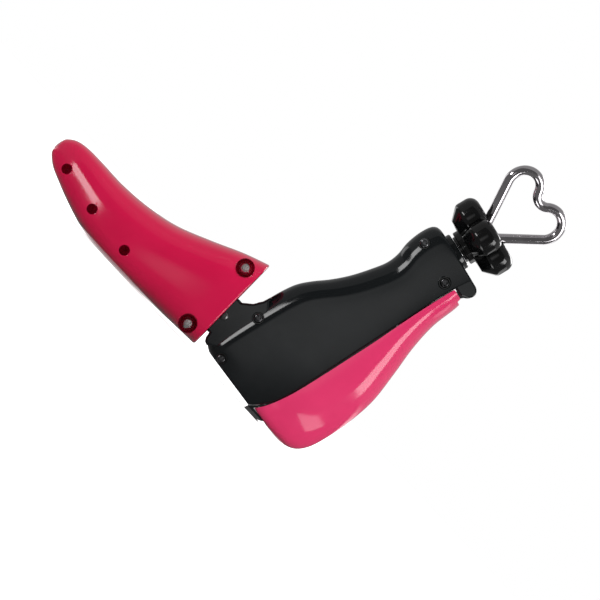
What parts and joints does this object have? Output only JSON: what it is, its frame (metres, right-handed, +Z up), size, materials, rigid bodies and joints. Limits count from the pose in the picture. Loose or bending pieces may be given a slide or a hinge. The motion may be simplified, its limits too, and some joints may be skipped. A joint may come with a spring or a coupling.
{
  "type": "shoe stretcher",
  "caption": "Two-way shoe stretcher: a split toe block tilts and spreads, a heel block swings out, driven by a star knob and a heart-shaped handle.",
  "frame": {"origin": "centre of the bounding box's footprint, on the surface that the toe sole and the heel frame lip stand on", "axes": "+X from the toe to the heel and handle, +Y across the width to the right, +Z up"},
  "size_m": [0.2217, 0.067, 0.2033],
  "materials": {
    "toe_plastic": "glossy crimson moulding",
    "heel_plastic": "glossy pink moulding",
    "black_plastic": "glossy black moulding",
    "inner_plastic": "matt black nylon",
    "black_screw": "black zinc",
    "bright_steel": "bright zinc",
    "chrome_wire": "polished chrome",
    "nut_brass": "machined brass"
  },
  "bodies": {
    "housing": {"housing_left": "black_plastic", "housing_right": "black_plastic", "housing_screws": "black_screw", "tilt_pin": "bright_steel", "end_collar": "black_plastic", "heel_pin": "bright_steel", "rod_bush": "nut_brass"},
    "knob": {"length_screw": "bright_steel", "drive_sleeve": "black_plastic", "star_knob": "black_plastic", "screw_ring": "bright_steel"},
    "handle": {"width_rod": "bright_steel", "heart_handle": "chrome_wire", "rod_clip": "bright_steel"},
    "length_wedge_body": {"length_wedge": "inner_plastic", "length_nut": "nut_brass"},
    "heel": {"heel_shell": "heel_plastic", "heel_frame": "black_plastic", "heel_screws": "bright_steel"},
    "width_wedge_body": {"width_wedge": "inner_plastic", "width_nut": "nut_brass"},
    "toe_core": {"toe_yoke": "inner_plastic", "toe_guide_pins": "bright_steel", "toe_guide_clips": "bright_steel", "toe_springs_left": "bright_steel", "toe_springs_right": "bright_steel"},
    "toe_left": {"toe_shell_left": "toe_plastic", "toe_frame_left": "inner_plastic", "toe_screws_left": "bright_steel"},
    "toe_right": {"toe_shell_right": "toe_plastic", "toe_frame_right": "inner_plastic", "toe_screws_right": "bright_steel"}
  },
  "joints": [
    {"name": "knob_turn", "type": "hinge", "parent": "housing", "child": "knob", "pos_m": [0.0782, 0, 0.1398], "axis": [0.2045, 0, 0.9789], "range_deg": [0, 2880]},
    {"name": "length_slide", "type": "slide", "parent": "housing", "child": "length_wedge_body", "axis": [-0.2045, 0, -0.9789], "range_m": [0, 0.028]},
    {"name": "heel_swing", "type": "hinge", "parent": "housing", "child": "heel", "pos_m": [0.09778, 0, 0.13081], "axis": [0, -1, 0], "range_deg": [0, 7.5]},
    {"name": "handle_turn", "type": "hinge", "parent": "housing", "child": "handle", "pos_m": [0.0782, 0, 0.1398], "axis": [0.2045, 0, 0.9789], "range_deg": [0, 2880]},
    {"name": "width_slide", "type": "slide", "parent": "housing", "child": "width_wedge_body", "axis": [-0.2045, 0, -0.9789], "range_m": [0, 0.015]},
    {"name": "toe_tilt", "type": "hinge", "parent": "housing", "child": "toe_core", "pos_m": [0.01835, 0, 0.02542], "axis": [0, 1, 0], "range_deg": [0, 20]},
    {"name": "toe_left_spread", "type": "slide", "parent": "toe_core", "child": "toe_left", "axis": [0, -1, 0], "range_m": [0, 0.007], "deforming": ["toe_springs_left"]},
    {"name": "toe_right_spread", "type": "slide", "parent": "toe_core", "child": "toe_right", "axis": [0, 1, 0], "range_m": [0, 0.007], "deforming": ["toe_springs_right"]}
  ],
  "couplings": [
    {"joint": "length_slide", "follows": "knob_turn", "m_per_rad": 0.00055704},
    {"joint": "heel_swing", "follows": "knob_turn", "ratio": 0.0026041},
    {"joint": "width_slide", "follows": "handle_turn", "m_per_rad": 0.00029841},
    {"joint": "toe_left_spread", "follows": "handle_turn", "m_per_rad": 0.00013926},
    {"joint": "toe_right_spread", "follows": "handle_turn", "m_per_rad": 0.00013926}
  ]
}
